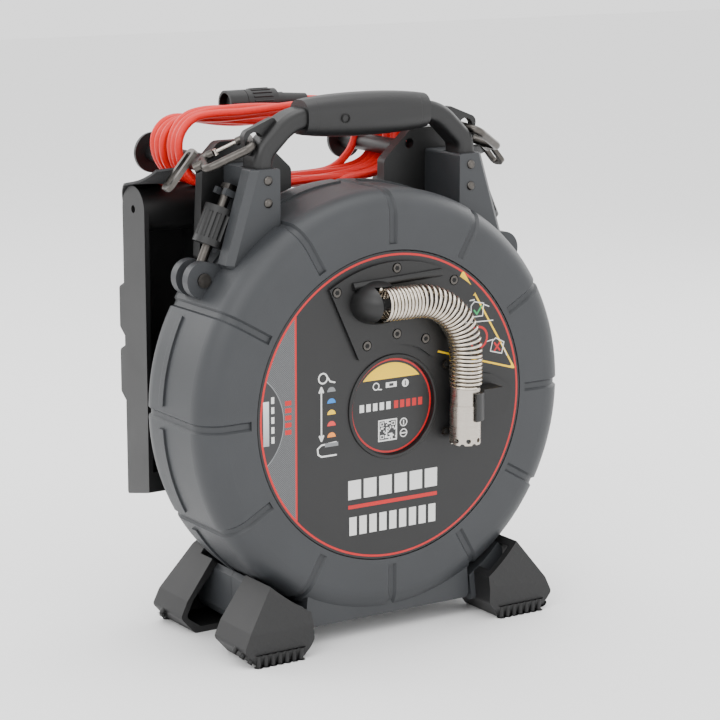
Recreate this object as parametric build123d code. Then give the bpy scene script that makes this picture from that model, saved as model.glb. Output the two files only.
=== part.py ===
from build123d import *
import os
from math import cos, radians, sin, tan

# Drain inspection camera on a hand-carried cable reel, in millimetres.
# Working frame: x to the right, y from the front face to the rear, z up, with the
# origin on the drum's axis at the case's front face. PLACE moves a finished piece
# to the object's own frame: z = 0 on the floor, x = 0 on the drum's axis, and the
# floor outline centred on y = 0.

# ---- driving dimensions ----
axis_height = 182.0        # floor to drum axis
clip_reach = 31.0          # camera clip stands this far in front of the case

case_r = 167.0
case_depth = 100.0
case_wall = 3.5
shoulder_r = 20.0          # rounding where the faces turn into the rim
seam_y = 60.0              # parting plane between front and rear case
seam_band = 7.0            # raised lip of the rear case beside the seam
seam_lip = 1.6
groove_count = 12
groove_depth = 2.0
groove_floor = 4.0         # groove width at its floor
groove_mouth = 8.0         # groove width at the surface
groove_start = 126.0       # radius where the grooves begin

plate_r = 121.0
plate_t = 4.0
plate_gap = 0.4            # radial gap round the face plate
plate_ledge = 8.0          # case ledge the plate rests on

hub_ring_r = 41.0          # black bezel round the hub label
hub_ring_wall = 3.0
hub_ring_proud = 1.5
label_t = 1.5
label_recess = 2.5         # label below the bezel's rim

base_half = 77.0           # moulded foot block under the case
base_drop = 167.0
base_front = 5.0
base_back = 96.0

pillar_in = 82.0           # inner side of a handle pillar
pillar_top_out = 105.0
pillar_top = 186.0
pillar_foot_out = 127.0
pillar_foot = 116.0
pillar_front = 29.5
pillar_back = 78.0
pillar_bevel = 5.0

leg_x = 92.5               # handle leg centre
leg_w = 16.0
leg_depth = 24.0
leg_y = 45.0
leg_bottom = 150.0
socket_gap = 0.15
socket_wall = 2.4
handle_z = 221.3           # grip centre line
grip_half = 55.7
grip_h = 33.0
grip_d = 35.0
grip_end = 0.8             # size of the grip's ends against its middle
rivet_r = 3.6
rivet_shank_r = 2.0
rivet_zs = (177.4, 160.5)
eye_hole_r = 6.4
eye_rim = 4.0
eye_t = 6.0

hook_nose = Vector(-98.2, 46.0, 205.3)   # snap hook's nose bar, left side
hook_tail = Vector(-129.0, 62.0, 189.0)  # its swivel end
hook_span = 27.0                 # centre to centre of the hook's two sides
hook_rod = 3.2
hook_gap = 0.5                   # clearance of the hook from the handle
gate_rod = 1.4
gate_tip = 10.0
gate_pivot = 27.0
gate_barrel = 1.6
swivel_r = 4.0
swivel_len = 5.0
ring_centre = Vector(-142.0, 75.5, 184.0)

strap_w = 28.0
strap_t = 2.0
strap_x = 145.0

bolt_pivot = (-138.5, 104.0)     # x, z of the side swing bolt's pin, left side
bolt_top = (-109.6, 168.6)       # x, z where the bolt passes its lug
bolt_r = 4.0
bolt_y = seam_y
bolt_eye_r = 8.0
bolt_eye_t = 9.0
pin_r = 3.0
boss_r = 14.0
boss_t = 8.0
knob_r = 12.5
knob_len = 30.0
knob_start = 26.5                # from the pivot along the bolt
knob_lobes = 12
lug_t = 5.0
lug_gap = 0.5
eye_gap = 0.4                    # between the bolt's eye and each ear
head_half = 6.0                  # half length of the bolt's cross head
head_w = 7.0
head_t = 4.0
run_gap = 0.08                   # radial running clearance

arm_in = 43.0
arm_out = 127.0
arm_t = 10.0
arm_top = 203.0
arm_foot = 112.0
post_left_x = -113.0
post_right_x = 66.0
post_z = 186.0
post_r = 7.0
flange_r = 16.0
flange_t = 3.0
flange_y = 171.0                 # front face of the posts' end flanges

hinge_y = 136.5                  # dock hinge axis
hinge_z = 148.0
ear_r = 18.0
knuckle_r = 11.5
knuckle_in = 76.0
knuckle_out = 92.0
hinge_pin_r = 3.0
panel_half = 150.0
panel_bottom = -62.0
panel_skin = 4.0
ear_in = 96.0
shoulder_z = 118.0               # top edge of the dock panel between its ears
toe_drop = 16.0                  # separate end piece below the dock panel

boot_front = -16.0               # front boots' toes
boot_depth = 46.0
boot_mirror = 56.0               # the rear boots mirror the front ones about this depth
boot_wall = 5.0
floor_z = -axis_height

cord_r = 3.2
coil_y0 = 97.0
coil_y1 = 168.0
plug_y = 150.0
plug_z = 223.0
plug_r = 10.5
plug_mouth_x = -60.0
plug_len = 52.0                  # mouth to the end of the plug's core
boot_end_x = 14.0
collar_len = 28.0

drum_r = 156.0
drum_y0 = 12.0
drum_y1 = 88.0
drum_wall = 3.0
spindle_r = 10.0
bearing_r = 17.0
bearing_w = 8.0

head_x = 56.5                    # camera head axis
head_y = -16.5
head_r = 12.2
head_top = -2.0
head_bottom = -33.0
spring_r = 13.2
hood_mouth = (-9.0, 83.5)        # x, z of the hood's mouth centre
spring_bend = 46.0
collar_top = 12.0

clip_wall = 2.3
gland_len = 16.0
case_screw_r = 150.0             # radius of the case screws' circle
guide_screw_places = [(1.2, 107.9), (-52.8, 93.9), (-25.9, 50.5), (1.4, 57), (54.2, 93.7), (27.9, 50.5)]
clip_screw_places = [(47, 28), (47, -25)]

face_y = (clip_reach - flange_y - flange_t) / 2
PLACE = Pos(0, face_y, axis_height)
bolt_run = Vector(bolt_top[0] - bolt_pivot[0], 0, bolt_top[1] - bolt_pivot[1])
bolt_len = bolt_run.length
BOLT_DIR = bolt_run.normalized()
hook_len = (hook_tail - hook_nose).length
HOOK_DIR = (hook_tail - hook_nose).normalized()
HOOK_NORMAL = HOOK_DIR.cross(Vector(0, 1, 0)).normalized()
HOOK_SIDE = HOOK_NORMAL.cross(HOOK_DIR)


# ---- shape helpers ----
def outline(corners):
    """Closed face from (u, v, corner radius) triples."""
    points = [(u, v) for u, v, _ in corners]
    return make_face(FilletPolyline(*points, radius=[r for _, _, r in corners], close=True))


def turned(*corners):
    """Solid of revolution about the drum's axis from (radius, y, corner radius)."""
    return revolve(outline(corners), axis=Axis.Y)


def front_slab(y0, y1, *corners):
    """Plate between two depths, with an (x, z, corner radius) outline."""
    plane = Plane((0, y1, 0), x_dir=(1, 0, 0), z_dir=(0, -1, 0))
    return extrude(plane * outline(corners), amount=y1 - y0, dir=plane.z_dir)


def side_slab(x0, x1, *corners):
    """Plate between two x values, with a (y, z, corner radius) outline."""
    plane = Plane((x0, 0, 0), x_dir=(0, 1, 0), z_dir=(1, 0, 0))
    return extrude(plane * outline(corners), amount=x1 - x0, dir=plane.z_dir)


def rod(start, end, radius):
    """Round bar between two points."""
    start, end = Vector(start), Vector(end)
    return extrude(Plane(start, z_dir=end - start) * Circle(radius), amount=(end - start).length)


def block(x0, x1, y0, y1, z0, z1):
    """Box between two corners."""
    return Pos((x0 + x1) / 2, (y0 + y1) / 2, (z0 + z1) / 2) * Box(x1 - x0, y1 - y0, z1 - z0)


def other_side(shape):
    """The same piece on the other side of the object."""
    return mirror(shape, about=Plane.YZ)


def tidy_radii(points, share=0.45):
    """Largest tangent arc at each inner corner of a cord's route."""
    radii = []
    for before, here, after in zip(points, points[1:], points[2:]):
        run_in = Vector(here) - Vector(before)
        run_out = Vector(after) - Vector(here)
        half_turn = radians(run_in.get_angle(run_out)) / 2
        radii.append(share * min(run_in.length, run_out.length) / tan(half_turn))
    return radii


def cord_tube(points, radius, name):
    """Round tube along straight runs joined by tangent arcs."""
    radii = tidy_radii(points)
    print(name, "radii", [round(r, 1) for r in radii])
    path = FilletPolyline(*points, radius=radii)
    return sweep(Plane(path @ 0, z_dir=path % 0) * Circle(radius), path=path)


# ---- case ----
def groove():
    """One groove tool: from the front face, over the shoulder, along the rim."""
    path = FilletPolyline((groove_start, 0), (case_r, 0), (case_r, seam_y), radius=shoulder_r)
    section = outline([
        (-groove_floor / 2, -groove_depth, 0), (groove_floor / 2, -groove_depth, 0),
        (groove_mouth / 2 + 0.6, 1, 0), (-groove_mouth / 2 - 0.6, 1, 0)])
    return sweep(Plane(path @ 0, x_dir=(0, 0, 1), z_dir=(1, 0, 0)) * section, path=path)


def cut_grooves(shell, tool):
    for i in range(groove_count):
        shell -= Rot(0, 360 / groove_count * i, 0) * tool
    return shell


def cavity():
    """Space inside the case that the drum turns in."""
    inner = case_r - case_wall
    return turned((0, case_wall, 0), (inner, case_wall, shoulder_r - case_wall),
                  (inner, case_depth - case_wall, shoulder_r - case_wall), (0, case_depth - case_wall, 0))


def foot_block(y0, y1):
    top_half = base_half - 4
    body = front_slab(y0, y1, (-base_half, -base_drop, 5), (base_half, -base_drop, 5),
                      (top_half, -120, 0), (-top_half, -120, 0))
    return body - cavity()


def pillar(y0, y1):
    """Left handle pillar: a socket for the handle's leg, a recess for the clamp and its lug."""
    def cross(y, inset):
        plane = Plane((0, y, 0), x_dir=(1, 0, 0), z_dir=(0, -1, 0))
        return plane * outline([
            (-pillar_in, pillar_top, 2), (-pillar_top_out + inset, pillar_top, 2),
            (-pillar_foot_out + inset, pillar_foot, 0), (-pillar_foot_out + 12, pillar_foot - 12, 0),
            (-pillar_in, 130, 0)])
    bevel_y = pillar_front + pillar_bevel
    body = loft([cross(pillar_front, pillar_bevel), cross(bevel_y, 0)])
    body += extrude(cross(pillar_back, 0), amount=pillar_back - bevel_y, dir=(0, -1, 0))
    wall = leg_x + leg_w / 2 + socket_wall
    recess_y = bolt_y - knob_r - 1
    body -= front_slab(recess_y, pillar_back + 1, (-wall, pillar_top + 1, 0), (-wall, 151, 0),
                       (-116.2, 121.8, 0), (-118, 100, 0), (-160, 100, 0), (-160, pillar_top + 1, 0))
    body += bolt_lug()
    half = leg_w / 2 + socket_gap
    deep = leg_depth / 2 + socket_gap
    body -= block(-leg_x - half, -leg_x + half, leg_y - deep, leg_y + deep,
                  leg_bottom - socket_gap, pillar_top + 1)
    for z in rivet_zs:
        body -= rod((-leg_x, pillar_front - 1, z), (-leg_x, pillar_back + 1, z), rivet_shank_r)
    body &= block(-200, 0, y0, y1, 0, 300)
    return body - cavity()


def boss(y0, y1):
    """One ear of the left clamp's clevis, on the case's rim."""
    x, z = bolt_pivot
    ear = rod((x, y0, z), (x, y1, z), boss_r)
    web = front_slab(y0, y1, (x + 4, z + boss_r - 1, 0), (x - 2, z - boss_r + 0.3, 0),
                     (x + 16, z - boss_r - 14, 0), (x + 34, z + 6, 0))
    ear = ear + web - rod((x, y0 - 1, z), (x, y1 + 1, z), pin_r)
    return ear - cavity()


def bolt_plane(along):
    """Plane square to the left swing bolt: x is the object's y, y points outward."""
    origin = Vector(bolt_pivot[0], bolt_y, bolt_pivot[1]) + BOLT_DIR * along
    return Plane(origin, x_dir=(0, 1, 0), z_dir=BOLT_DIR)


def bolt_slot():
    """Room in the case's rim for the left swing bolt's eye and shank."""
    x, z = bolt_pivot
    half_eye = bolt_eye_t / 2 + eye_gap
    eye_room = rod((x, bolt_y - half_eye, z), (x, bolt_y + half_eye, z), bolt_eye_r + 1)
    return eye_room + extrude(bolt_plane(0) * Circle(bolt_r + 0.6), amount=bolt_len - lug_t - 1)


def bolt_lug():
    """Open-ended lug on the left pillar that the swing bolt's head pulls on."""
    slot = bolt_r + 0.6
    plate = Pos(0, -2) * Rectangle(18, 17) - Circle(slot) - Pos(0, 10) * Rectangle(2 * slot, 20)
    return extrude(bolt_plane(bolt_len - lug_t) * plate, amount=lug_t, dir=BOLT_DIR)


def front_case():
    seat = plate_r + plate_gap
    shell = turned(
        (seat, 0, 0), (case_r, 0, shoulder_r), (case_r, seam_y, 0),
        (case_r - case_wall, seam_y, 0), (case_r - case_wall, case_wall, shoulder_r - case_wall),
        (seat + case_wall, case_wall, 0), (seat + case_wall, plate_t + case_wall, 0),
        (plate_r - plate_ledge, plate_t + case_wall, 0), (plate_r - plate_ledge, plate_t, 0),
        (seat, plate_t, 0))
    shell = cut_grooves(shell, groove())
    shell += foot_block(base_front, seam_y)
    half_eye = bolt_eye_t / 2 + eye_gap
    left = pillar(pillar_front, seam_y) + boss(bolt_y - half_eye - boss_t, bolt_y - half_eye)
    shell += left
    shell += other_side(left)
    return shell - bolt_slot() - other_side(bolt_slot())


def rear_case():
    bore = bearing_r
    shell = turned(
        (case_r, seam_y, 0), (case_r, case_depth, shoulder_r), (bore, case_depth, 0),
        (bore, case_depth - bearing_w, 0), (bore + case_wall, case_depth - bearing_w, 0),
        (bore + case_wall, case_depth - case_wall, 0),
        (case_r - case_wall, case_depth - case_wall, shoulder_r - case_wall),
        (case_r - case_wall, seam_y, 0))
    lip = turned((case_r - 1, seam_y, 0), (case_r + seam_lip, seam_y, 0),
                 (case_r + seam_lip, seam_y + seam_band, 1), (case_r - 1, seam_y + seam_band, 0))
    for i in range(groove_count):
        lip -= Rot(0, 360 / groove_count * i, 0) * block(case_r - 9, case_r + 9, 0, 99, -9, 9)
    tool = Pos(0, case_depth, 0) * mirror(groove(), about=Plane.XZ)
    shell = cut_grooves(shell + lip, tool)
    shell += foot_block(seam_y, base_back)
    half_eye = bolt_eye_t / 2 + eye_gap
    left = pillar(seam_y, pillar_back) + boss(bolt_y + half_eye, bolt_y + half_eye + boss_t)
    shell += left
    shell += other_side(left)
    return shell - bolt_slot() - other_side(bolt_slot())


def case_screws():
    """Long screws that draw the rear case onto the front case, heads at the rear."""
    screws = []
    for i in range(6):
        angle = radians(45 + 60 * i)
        x, z = case_screw_r * cos(angle), case_screw_r * sin(angle)
        screws.append(rod((x, case_depth, z), (x, case_depth + 2.2, z), 4.2))
    return Compound(children=screws)


# ---- face ----
def face_plate():
    plate = turned((hub_ring_r + 0.1, 0, 0), (plate_r, 0, 0.8), (plate_r, plate_t, 0),
                   (hub_ring_r + 0.1, plate_t, 0))
    return plate


def hub_bezel():
    inner = hub_ring_r - hub_ring_wall
    return turned((inner, -hub_ring_proud, 0.8), (hub_ring_r, -hub_ring_proud, 0.8),
                  (hub_ring_r, plate_t + 3, 0), (0, plate_t + 3, 0),
                  (0, label_recess + label_t, 0), (inner, label_recess + label_t, 0))


def hub_label():
    return turned((0, label_recess, 0), (hub_ring_r - hub_ring_wall, label_recess, 0),
                  (hub_ring_r - hub_ring_wall, label_recess + label_t, 0), (0, label_recess + label_t, 0))


def guide_outline(inset, y0, y1):
    """Fan-shaped cover between the hub and the plate's rim."""
    ring = turned((49 + inset, y0, 0), (113 - inset, y0, 0), (113 - inset, y1, 0), (49 + inset, y1, 0))
    wedge = front_slab(y0, y1, (-33 + inset, 40, 0), (-60 + inset, 98, 0), (-20, 130, 0),
                       (90, 130, 0), (76 - inset, 84, 0), (37 - inset, 36, 0))
    return ring & wedge


def cable_guide():
    body = guide_outline(0, -3, 0)
    x, z = hood_mouth
    hood = Pos(x - 10, 0, z) * scale(Sphere(17), by=(1.3, 1.75, 1))
    hood &= block(x - 40, x, -40, 0, z - 30, z + 30)
    ridge = rod((-39, -3, 97), (42, -3, 101), 3.2)
    body = body + hood + ridge
    body -= block(-80, 90, 0, 20, 30, 130)
    body -= rod((x - 18, head_y, z), (x + 1, head_y, z), spring_r + 0.5)
    for sx, sz in guide_screw_places:
        body -= rod((sx, -10, sz), (sx, 0, sz), 4.2) - rod((sx, -1.5, sz), (sx, 0, sz), 4.2)
    return body


def screw_group(places, head_y0, head_t, radius):
    """Pan-head screws, heads only, on the face."""
    return Compound(children=[rod((x, head_y0, z), (x, head_y0 - head_t, z), radius) for x, z in places])


def camera_clip():
    """Spring clip that holds the camera head, open toward the hub."""
    wing = front_slab(-2.5, 0, (41, 34, 3), (53, 34, 3), (66, 20, 6), (92, 15, 3), (117, 0, 5),
                      (92, -14, 3), (66, -18, 6), (53, -31, 3), (41, -31, 3))
    neck = front_slab(-20, 0, (head_x + 14, 8, 1), (92, 8, 4), (98, 0, 4), (92, -14, 4), (head_x + 14, -14, 1))
    band = rod((head_x, head_y, -14), (head_x, head_y, 8), head_r + 0.35 + clip_wall)
    body = wing + neck + band
    body -= rod((head_x, head_y, -20), (head_x, head_y, 12), head_r + 0.35)
    body -= block(0, head_x, -40, 10, -40, 40)
    return body - block(0, 200, 0, 20, -50, 50)


# ---- handle ----
def handle_path():
    return FilletPolyline((-leg_x, leg_y, leg_bottom), (-leg_x, leg_y, 196), (-66, leg_y, handle_z),
                          (66, leg_y, handle_z), (leg_x, leg_y, 196), (leg_x, leg_y, leg_bottom),
                          radius=[16, 36, 36, 16])


def handle_bar():
    path = handle_path()
    section = Plane(path @ 0, x_dir=(1, 0, 0), z_dir=(0, 0, 1)) * RectangleRounded(leg_w, leg_depth, 6)
    return sweep(section, path=path)


def handle_frame():
    """Bent handle with an eye at each bend for a snap hook."""
    body = handle_bar()
    eye_x = hook_nose.X - HOOK_DIR.X * 2.5
    eye_z = hook_nose.Z - HOOK_DIR.Z * 2.5
    rim = eye_hole_r + eye_rim
    y0, y1 = leg_y - eye_t / 2, leg_y + eye_t / 2
    eye = front_slab(y0, y1, (eye_x - rim + 3, eye_z - rim, 5), (eye_x - rim, eye_z + rim - 4, 6),
                     (-78, 224, 3), (-78, 200, 0), (-86, 193, 2))
    eye -= rod((eye_x, 0, eye_z), (eye_x, 99, eye_z), eye_hole_r)
    body = body + eye + other_side(eye)
    body -= hook_room() + other_side(hook_room())
    for x in (-leg_x, leg_x):
        for z in rivet_zs:
            body -= rod((x, 0, z), (x, 99, z), rivet_shank_r)
    return body


def grip():
    def cross(x, share):
        plane = Plane((x, leg_y, handle_z), x_dir=(0, 1, 0), z_dir=(1, 0, 0))
        return plane * RectangleRounded(grip_d * share, grip_h * share, 0.42 * grip_h * share)
    middle = (1 + grip_end) / 2 + 0.06
    sections = [cross(-grip_half, grip_end), cross(-grip_half * 0.5, middle), cross(0, 1),
                cross(grip_half * 0.5, middle), cross(grip_half, grip_end)]
    body = loft(sections)
    return body - handle_bar()


def rivets():
    """Dome-head rivets through each pillar and handle leg."""
    out = []
    for x in (-leg_x, leg_x):
        for z in rivet_zs:
            shank = rod((x, pillar_front, z), (x, pillar_back, z), rivet_shank_r)
            dome = Pos(x, pillar_front, z) * (scale(Sphere(rivet_r), by=(1, 0.6, 1)) & block(-9, 9, -9, 0, -9, 9))
            tail = Pos(x, pillar_back, z) * Rot(90, 0, 0) * Pos(0, 0, -0.75) * Cylinder(rivet_r, 1.5)
            out.append(shank + dome + tail)
    return Compound(children=out)


# ---- side clamps (left side; the right is its mirror image) ----
def swing_bolt():
    x, z = bolt_pivot
    eye = rod((x, bolt_y - bolt_eye_t / 2, z), (x, bolt_y + bolt_eye_t / 2, z), bolt_eye_r)
    shank = extrude(bolt_plane(0) * Circle(bolt_r), amount=bolt_len + lug_gap + 1)
    cross_head = extrude(bolt_plane(bolt_len + lug_gap) * Rectangle(2 * head_half, head_w), amount=head_t)
    return eye + shank + cross_head - rod((x, 0, z), (x, 99, z), pin_r + run_gap)


def clamp_pin():
    x, z = bolt_pivot
    reach = bolt_eye_t / 2 + eye_gap + boss_t
    pin = rod((x, bolt_y - reach, z), (x, bolt_y + reach, z), pin_r)
    cap = rod((x, bolt_y - reach - 1.5, z), (x, bolt_y - reach, z), pin_r + 2.5)
    return pin + cap


def clamp_knob():
    """Ribbed hand nut on the swing bolt."""
    body = extrude(bolt_plane(knob_start) * Circle(knob_r), amount=knob_len)
    for i in range(knob_lobes):
        angle = radians(360 / knob_lobes * i)
        groove_at = Pos((knob_r + 1.2) * cos(angle), (knob_r + 1.2) * sin(angle)) * Circle(2.4)
        body -= extrude(bolt_plane(knob_start + 5) * groove_at, amount=knob_len - 10)
    return body - extrude(bolt_plane(knob_start - 1) * Circle(bolt_r + run_gap), amount=knob_len + 2)


# ---- snap hooks and strap (left side) ----
def hook_point(along, side):
    """Point of the left snap hook: along from nose to tail, and across to its rear side."""
    return hook_nose + HOOK_DIR * along + HOOK_SIDE * side


def hook_room():
    """Space that the left snap hook's nose and sides take beside the handle, with a clearance."""
    half = hook_span / 2
    room = rod(hook_point(0, -half), hook_point(0, half), hook_rod + hook_gap)
    for side in (-half, half):
        room += rod(hook_point(-hook_rod, side), hook_point(hook_len, side), hook_rod + hook_gap)
    return room


def hook_body():
    half = hook_span / 2
    path = FilletPolyline(hook_point(gate_tip - 0.5, half), hook_point(0, half), hook_point(0, -half),
                          hook_point(hook_len, -half), hook_point(hook_len, half),
                          hook_point(gate_pivot + 5, half), radius=[6, 6, 6, 6])
    ring = sweep(Plane(path @ 0, z_dir=path % 0) * Circle(hook_rod), path=path)
    neck = rod(hook_point(hook_len, 0), hook_point(hook_len + hook_rod + swivel_len, 0), swivel_r)
    knuckle = rod(hook_point(gate_pivot + 5, half), hook_point(gate_pivot + 2, half), hook_rod)
    return ring + neck + knuckle


def hook_gate():
    """Sprung wire gate, turning on a small barrel beside the hook's knuckle."""
    half = hook_span / 2
    wire = rod(hook_point(gate_tip, half), hook_point(gate_pivot, half), gate_rod)
    pivot = hook_point(gate_pivot, half)
    return wire + rod(pivot - HOOK_NORMAL * 2.4, pivot + HOOK_NORMAL * 2.4, gate_barrel)


def strap_ring():
    """Flat ring that joins the snap hook to the webbing."""
    plane = Plane(ring_centre, x_dir=Vector(-0.65, 0, -0.76), z_dir=Vector(-0.76, 0.1, 0.65))
    ring = RectangleRounded(strap_w + 10, 14, 5) - RectangleRounded(strap_w + 3, 7, 2)
    body = extrude(plane * ring, amount=1.8, both=True)
    return body - hook_body()


def strap_end():
    """Webbing from the strap ring to the top of the dock's hinge."""
    top = hinge_z + ear_r + 0.4
    run = [(84, 183), (114, top + 2), (hinge_y, top)]
    upper = [(y, z + strap_t) for y, z in reversed(run)]
    corners = [(y, z, 0) for y, z in run + upper]
    return side_slab(-strap_x - strap_w / 2, -strap_x + strap_w / 2, *corners)


def strap_loop():
    """Webbing that hangs behind the dock panel from one hinge end to the other."""
    y = hinge_y + ear_r + 0.6
    start = panel_half - 17.0
    path = FilletPolyline((-start, y, hinge_z), (-start + 14, y, 84), (-88, y, -26), (0, y, -46),
                          (88, y, -26), (start - 14, y, 84), (start, y, hinge_z),
                          radius=[90, 80, 110, 80, 90])
    section = Plane(path @ 0, x_dir=(0, 1, 0), z_dir=path % 0) * Rectangle(strap_t, strap_w)
    return sweep(Pos(0, strap_t / 2, 0) * section, path=Pos(0, strap_t / 2, 0) * path)


# ---- dock arms, cable posts, dock panel ----
def dock_arm():
    """Left arm on the rear of the pillar, with its share of the dock hinge."""
    back = pillar_back + arm_t
    plate = front_slab(pillar_back, back, (-arm_out + 2, arm_foot, 4), (-arm_out + 6, arm_top - 14, 6),
                       (-arm_out + 20, arm_top, 8), (-arm_in - 26, arm_top, 8), (-arm_in, arm_top - 24, 6),
                       (-arm_in, 150, 0), (-arm_in - 20, 132, 0))
    plate -= rod((-arm_in - 24, 0, arm_top - 12), (-arm_in - 24, 120, arm_top - 12), 4)
    for x in (-leg_x,):
        for z in rivet_zs:
            plate -= rod((x, 60, z), (x, pillar_back + 2, z), rivet_r + 0.3)
    knuckle = side_slab(-knuckle_out, -knuckle_in, (back - 2, hinge_z + 6, 0),
                        (back - 2, hinge_z - 26, 0), (hinge_y, hinge_z - knuckle_r, 0),
                        (hinge_y, hinge_z + knuckle_r * 0.9, 0))
    knuckle += rod((-knuckle_out, hinge_y, hinge_z), (-knuckle_in, hinge_y, hinge_z), knuckle_r)
    arm = plate + knuckle - rod((-200, hinge_y, hinge_z), (0, hinge_y, hinge_z), hinge_pin_r)
    return arm - case_clearance(0)


def cable_post(x):
    back = pillar_back + arm_t
    tube = rod((x, back, post_z), (x, flange_y, post_z), post_r)
    flange = rod((x, flange_y, post_z), (x, flange_y + flange_t, post_z), flange_r)
    return tube + flange


def dock_panel():
    """Tray-shaped dock that hangs from the hinge, open toward the case."""
    front, back = hinge_y - ear_r, hinge_y + ear_r
    side = [(front, panel_bottom, 0), (back, panel_bottom, 0), (back, hinge_z, 0), (front, hinge_z, 0)]
    body = side_slab(-panel_half, panel_half, *side)
    body -= block(-panel_half + panel_skin, panel_half - panel_skin, front - 1, back - panel_skin,
                  panel_bottom + panel_skin, hinge_z + 1)
    body -= block(-ear_in, ear_in, front - 1, back + 1, shoulder_z, hinge_z + 30)
    for x0, x1 in ((-panel_half, -ear_in), (ear_in, panel_half)):
        body += rod((x0, hinge_y, hinge_z), (x1, hinge_y, hinge_z), ear_r)
    rib = block(-ear_in - 3, -ear_in, front, back, shoulder_z - 20, hinge_z)
    body = body + rib + other_side(rib)
    return body - rod((-200, hinge_y, hinge_z), (200, hinge_y, hinge_z), hinge_pin_r + run_gap)


def panel_rails():
    """Two raised mounting rails on the dock's rear face, near its left edge."""
    back = hinge_y + ear_r
    rails = []
    for z0, z1 in ((46, 88), (-6, 38)):
        rails.append(side_slab(-panel_half, -panel_half + 12, (back, z0, 0), (back + 8, z0 + 6, 3),
                               (back + 8, z1 - 4, 3), (back, z1, 0)))
    return Compound(children=rails)


def panel_toe():
    """End piece screwed under the dock panel."""
    front, back = hinge_y - ear_r, hinge_y + ear_r
    return side_slab(-panel_half, panel_half, (front, panel_bottom, 0), (back, panel_bottom, 0),
                     (back, panel_bottom - toe_drop - 4, 2), (front, panel_bottom - toe_drop + 4, 2))


def hinge_pin():
    return rod((-panel_half + 6, hinge_y, hinge_z), (-knuckle_in + 2, hinge_y, hinge_z), hinge_pin_r)


# ---- legs and boots ----
def case_clearance(gap):
    """Space the case takes up, with a gap all round."""
    radius = case_r + seam_lip + gap
    drum = turned((0, -30, 0), (radius, -30, 0), (radius, case_depth + gap, 0), (0, case_depth + gap, 0))
    half = base_half + gap
    return drum + block(-half, half, base_front - gap, base_back + gap, -base_drop - gap, 0)


def mirrored_back(shape):
    """The rear counterpart of a front boot or leg."""
    return mirror(shape, about=Plane((0, boot_mirror, 0), x_dir=(1, 0, 0), z_dir=(0, 1, 0)))


def boot_form(inset):
    """Left front boot's outer form, or its inside when inset by the wall."""
    f, i = floor_z, inset
    back = boot_front + boot_depth
    face = front_slab(-60, 200, (-92 - i, f + i, 4), (-131 + i, f + i, 4), (-143.5 + i, f + 14, 4),
                      (-137.5 + i, f + 27, 6), (-112 + i, f + 62 - i, 7), (-98, f + 71 - i, 7),
                      (-84 - i, f + 50, 6), (-82 - i, f + 14, 5))
    side = side_slab(-200, 0, (boot_front + 2 + i, f - 2, 3), (back + i, f - 2, 0), (back + i, f + 90, 0),
                     (boot_front + 20 + i, f + 90, 0), (boot_front + 11 + i, f + 66 - i, 7),
                     (boot_front + i, f + 26, 12), (boot_front - 1 + i, f + 8, 4))
    return face & side


def boot(rear):
    """Left rubber boot: a cup pushed over the end of its leg."""
    body = boot_form(0) - boot_form(boot_wall)
    if rear:
        body = mirrored_back(body)
    return body - case_clearance(0.4) - leg(rear)


def leg(rear):
    """Left moulded leg between the foot block and its boot."""
    f = floor_z
    shape = side_slab(-113, -base_half - 1, (55.8, f + 30, 0), (55.8, f + 66, 0), (14, f + 66, 0),
                      (2, f + 14, 3), (14, f + 8, 3), (40, f + 14, 3))
    shape &= front_slab(-40, 200, (-base_half - 1, f + 12, 0), (-108, f + 12, 0), (-113, f + 20, 0),
                        (-113, f + 50, 0), (-100, f + 64, 0), (-base_half - 1, f + 64, 0))
    if rear:
        shape = mirrored_back(shape)
    return shape - case_clearance(0.2)


# ---- drum and its running gear ----
def drum_shell(front):
    mid = (drum_y0 + drum_y1) / 2
    outer, core = drum_r, 70.0
    if front:
        return turned((core, drum_y0, 0), (outer, drum_y0, 12), (outer, mid, 0), (outer - drum_wall, mid, 0),
                      (outer - drum_wall, drum_y0 + drum_wall, 9), (core, drum_y0 + drum_wall, 0))
    return turned((spindle_r + 0.1 + run_gap, drum_y1, 0), (outer, drum_y1, 12), (outer, mid, 0),
                  (outer - drum_wall, mid, 0), (outer - drum_wall, drum_y1 - drum_wall, 9),
                  (24, drum_y1 - drum_wall, 0), (24, drum_y1 - 14, 0),
                  (spindle_r + 0.1 + run_gap, drum_y1 - 14, 0))


def drum_screws():
    mid = (drum_y0 + drum_y1) / 2
    places = [radians(30 + 60 * i) for i in range(6)]
    r = drum_r - 14
    return Compound(children=[rod((r * cos(a), drum_y0 - 2, r * sin(a)), (r * cos(a), drum_y0, r * sin(a)), 3.5)
                              for a in places])


def push_cable_coil():
    """Wound push cable inside the drum, as one ring."""
    return turned((104, drum_y0 + drum_wall + 1, 8), (drum_r - drum_wall - 1, drum_y0 + drum_wall + 1, 9),
                  (drum_r - drum_wall - 1, drum_y1 - drum_wall - 1, 9), (104, drum_y1 - drum_wall - 1, 8))


def spindle():
    """Fixed shaft from the hub bezel to the rear bearing."""
    front = plate_t + 3
    return turned((0, front, 0), (24, front, 0), (24, front + 3, 0), (spindle_r, front + 3, 0),
                  (spindle_r, case_depth + 4, 0), (0, case_depth + 4, 0))


def bearing():
    y0 = case_depth - bearing_w
    return turned((spindle_r, y0, 0), (bearing_r, y0, 0), (bearing_r, case_depth, 0), (spindle_r, case_depth, 0))


def slip_ring():
    return turned((spindle_r + 0.5, 30, 0), (22, 30, 0), (22, 56, 0), (spindle_r + 0.5, 56, 0))


def slip_brushes():
    """Brush block that rides on the drum and reads the slip ring."""
    return block(-8, 8, 34, 52, 22.6, 34) + turned((34, 38, 0), (40, 38, 0), (40, 48, 0), (34, 48, 0))


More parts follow.
